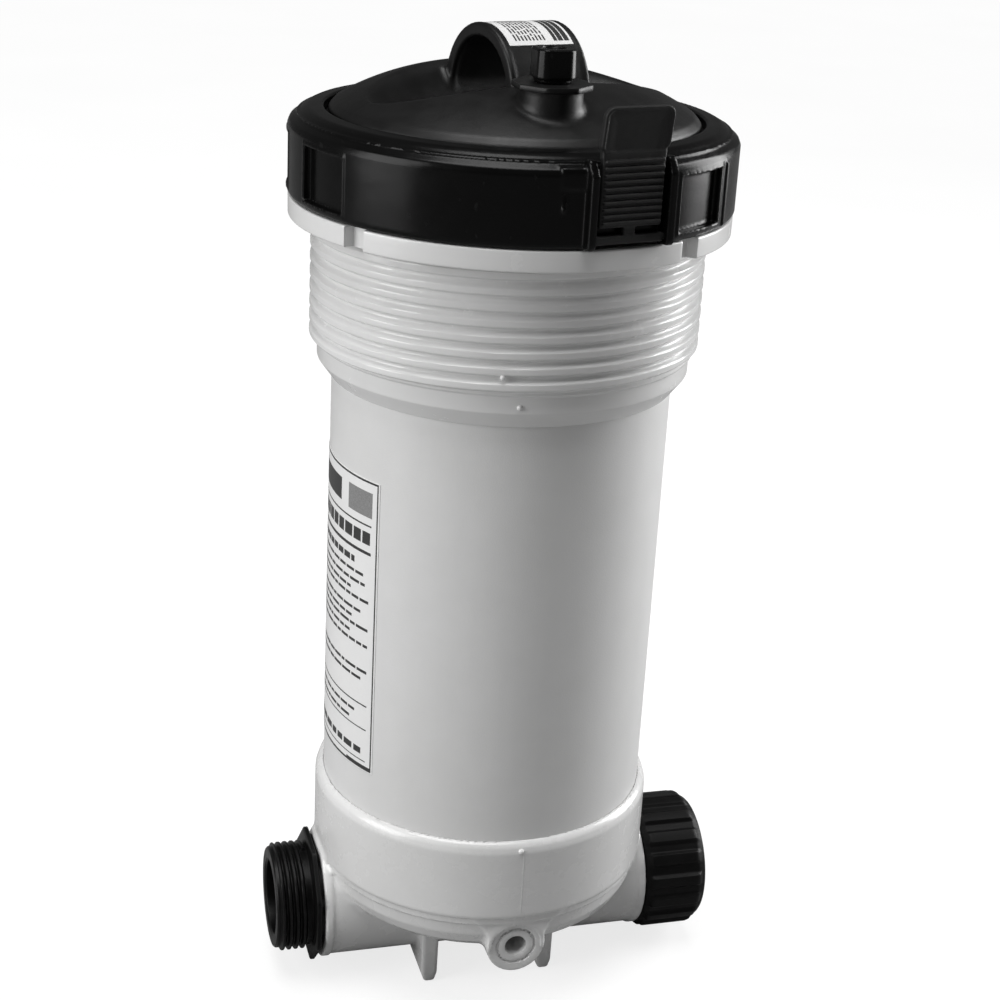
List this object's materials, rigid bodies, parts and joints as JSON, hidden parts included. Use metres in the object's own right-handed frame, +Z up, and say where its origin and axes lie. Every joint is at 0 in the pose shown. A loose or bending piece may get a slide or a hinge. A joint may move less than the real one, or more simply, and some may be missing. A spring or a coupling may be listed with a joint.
{
  "type": "cartridge filter housing",
  "caption": "Top-load cartridge filter housing with a locking lid ring, fixing thread, drain boss, feet and side ports for pool and spa plumbing.",
  "frame": {"origin": "centre of the plane the feet stand on, on the tank axis", "axes": "+Z up along the tank axis, +X along the ports towards the outlet union nut, -Y towards the drain boss"},
  "size_m": [0.2371, 0.2196, 0.5032],
  "materials": {
    "white_body": "glossy moulded white ABS with faint flow marks",
    "white_tube": "satin extruded white pipe",
    "black_lid": "fine satin moulded black",
    "black_ring": "glossy moulded black",
    "grey_tab": "satin dark grey",
    "black_fitting": "moulded black with edge scuffs",
    "seal": "black nitrile",
    "steel": "spring wire",
    "valve": "white acetal",
    "pleat": "spunbonded polyester",
    "band": "woven tape",
    "endcap": "cast urethane",
    "core": "perforated white tube",
    "label": null
  },
  "bodies": {
    "tank": {"base": "white_body", "tube": "white_tube", "neck": "white_body", "inlet_adapter": "black_fitting", "outlet_adapter": "black_fitting", "union_tailpiece": "black_fitting", "union_oring": "seal", "bypass_cage": "valve", "bypass_spring": "steel", "body_label": "label"},
    "cartridge": {"cartridge_bottom_cap": "endcap", "cartridge_pleats": "pleat", "cartridge_core": "core", "cartridge_bands": "band", "cartridge_top_cap": "endcap"},
    "lid": {"lid": "black_lid", "lid_oring": "seal", "relief_oring": "seal", "handle_label": "label"},
    "ring": {"lock_ring": "black_ring"},
    "tab": {"lock_tab": "grey_tab"},
    "relief": {"relief_knob": "black_ring"},
    "nut": {"union_nut": "black_fitting"},
    "poppet": {"bypass_poppet": "black_fitting"}
  },
  "joints": [
    {"name": "lid_lift", "type": "slide", "parent": "tank", "child": "lid", "axis": [0, 0, 1], "range_m": [0, 0.5]},
    {"name": "cartridge_lift", "type": "slide", "parent": "tank", "child": "cartridge", "axis": [0, 0, 1], "range_m": [0, 0.39]},
    {"name": "ring_turn", "type": "hinge", "parent": "lid", "child": "ring", "pos_m": [0, 0, 0.44], "axis": [0, 0, 1], "range_deg": [-60, 0]},
    {"name": "tab_release", "type": "hinge", "parent": "ring", "child": "tab", "pos_m": [0.02389, -0.10348, 0.4256], "axis": [0.9744, 0.225, 0], "range_deg": [0, 10], "stiffness_Nm_per_rad": 0.4},
    {"name": "relief_turn", "type": "hinge", "parent": "lid", "child": "relief", "pos_m": [-0.001, -0.06, 0.47], "axis": [0, 0, 1], "range_deg": [0, 720]},
    {"name": "nut_turn", "type": "hinge", "parent": "tank", "child": "nut", "pos_m": [0.1, 0, 0.041], "axis": [1, 0, 0], "continuous": true},
    {"name": "bypass_open", "type": "slide", "parent": "tank", "child": "poppet", "axis": [0, 0, 1], "range_m": [-0.007, 0], "stiffness_N_per_m": 800, "springref_m": 0.004, "deforming": ["bypass_spring"]}
  ],
  "couplings": [
    {"joint": "cartridge_lift", "follows": "lid_lift", "ratio": 0.78}
  ]
}
